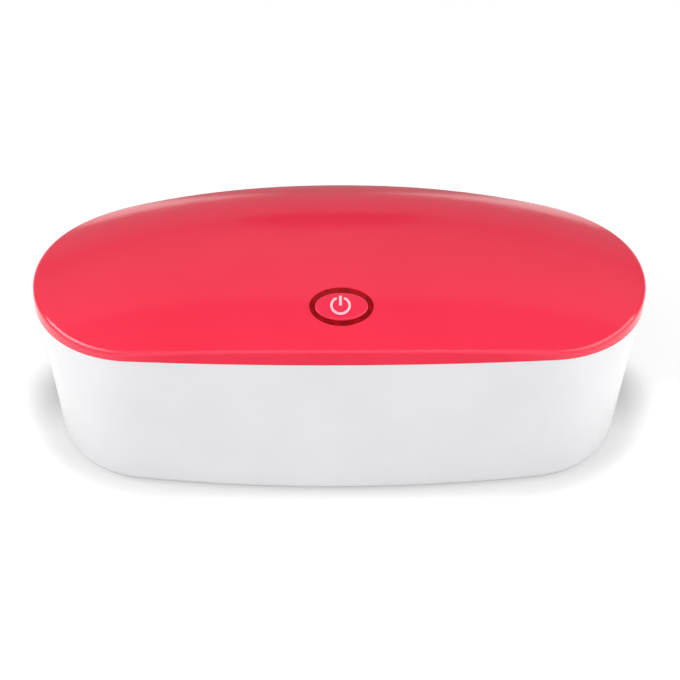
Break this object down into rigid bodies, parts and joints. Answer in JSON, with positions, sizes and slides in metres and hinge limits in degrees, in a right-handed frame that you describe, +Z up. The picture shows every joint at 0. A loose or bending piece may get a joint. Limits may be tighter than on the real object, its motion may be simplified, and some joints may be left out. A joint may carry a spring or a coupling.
{
  "type": "uv sanitizing box",
  "caption": "Oval white box with a domed red hinged lid, a lit oval power button and a reflective tray under ultraviolet lamps.",
  "frame": {"origin": "centre of the footprint, on the table plane under the feet", "axes": "+X along the length to the right, +Y to the rear where the hinge is, +Z up"},
  "size_m": [0.262, 0.11, 0.1022],
  "materials": {
    "base_gloss": "glossy white moulded ABS",
    "tray_mirror_coat": "bright metallised coating on plastic",
    "lid_gloss": "glossy coral red moulded ABS",
    "button_gloss": "glossy coral red moulded ABS",
    "cover_reflective": "satin metallised plastic",
    "fastener_steel": "zinc plated",
    "foot_rubber": "matte",
    "magnet_nickel": "nickel plated",
    "lamp_board_white": "white solder mask on an aluminium core",
    "lamp_ceramic": "ceramic package",
    "quartz": "clear fused quartz",
    "board_green": "green solder mask",
    "component_black": "matte",
    "ring_clear_red": "clear red polycarbonate",
    "indicator_white": "gloss",
    "cell_foil": "laminated foil pouch",
    "socket_steel": "stamped stainless",
    "lead_sleeve": "silicone sleeve"
  },
  "bodies": {
    "base": {"base_shell": "base_gloss", "tray_liner": "tray_mirror_coat", "tray_screws": "fastener_steel", "foot_front_left": "foot_rubber", "foot_front_right": "foot_rubber", "foot_rear_left": "foot_rubber", "foot_rear_right": "foot_rubber", "hinge_pin_left": "fastener_steel", "hinge_pin_right": "fastener_steel", "base_magnet_left": "magnet_nickel", "base_magnet_right": "magnet_nickel", "sensor_magnet": "magnet_nickel", "lid_bumper_left": "foot_rubber", "lid_bumper_right": "foot_rubber"},
    "lid": {"lid_shell": "lid_gloss", "lid_inner_cover": "cover_reflective", "light_trap_skirt": "cover_reflective", "lid_screws": "fastener_steel", "uv_led_board": "lamp_board_white", "uvc_led_1": "lamp_ceramic", "uvc_led_2": "lamp_ceramic", "uvc_led_3": "lamp_ceramic", "uvc_led_4": "lamp_ceramic", "uvc_led_5": "lamp_ceramic", "uvc_led_6": "lamp_ceramic", "uv_window_1": "quartz", "uv_window_2": "quartz", "uv_window_3": "quartz", "uv_window_4": "quartz", "uv_window_5": "quartz", "uv_window_6": "quartz", "control_board": "board_green", "switch_body": "component_black", "light_ring": "ring_clear_red", "ring_led_left": "indicator_white", "ring_led_right": "indicator_white", "lid_sensor": "component_black", "battery_pack": "cell_foil", "usb_socket": "socket_steel", "usb_board": "board_green", "board_screws": "fastener_steel", "led_leads": "lead_sleeve", "battery_leads": "lead_sleeve", "usb_leads": "lead_sleeve", "lid_magnet_left": "magnet_nickel", "lid_magnet_right": "magnet_nickel"},
    "button": {"button_cap": "button_gloss", "switch_plunger": "component_black"}
  },
  "joints": [
    {"name": "lid_hinge", "type": "hinge", "parent": "base", "child": "lid", "pos_m": [0, 0.051, 0.0765], "axis": [-1, 0, 0], "range_deg": [0, 100]},
    {"name": "power_button_press", "type": "slide", "parent": "lid", "child": "button", "axis": [0, 0, -1], "range_m": [0, 0.0005], "stiffness_N_per_m": 400, "springref_m": -0.001}
  ]
}
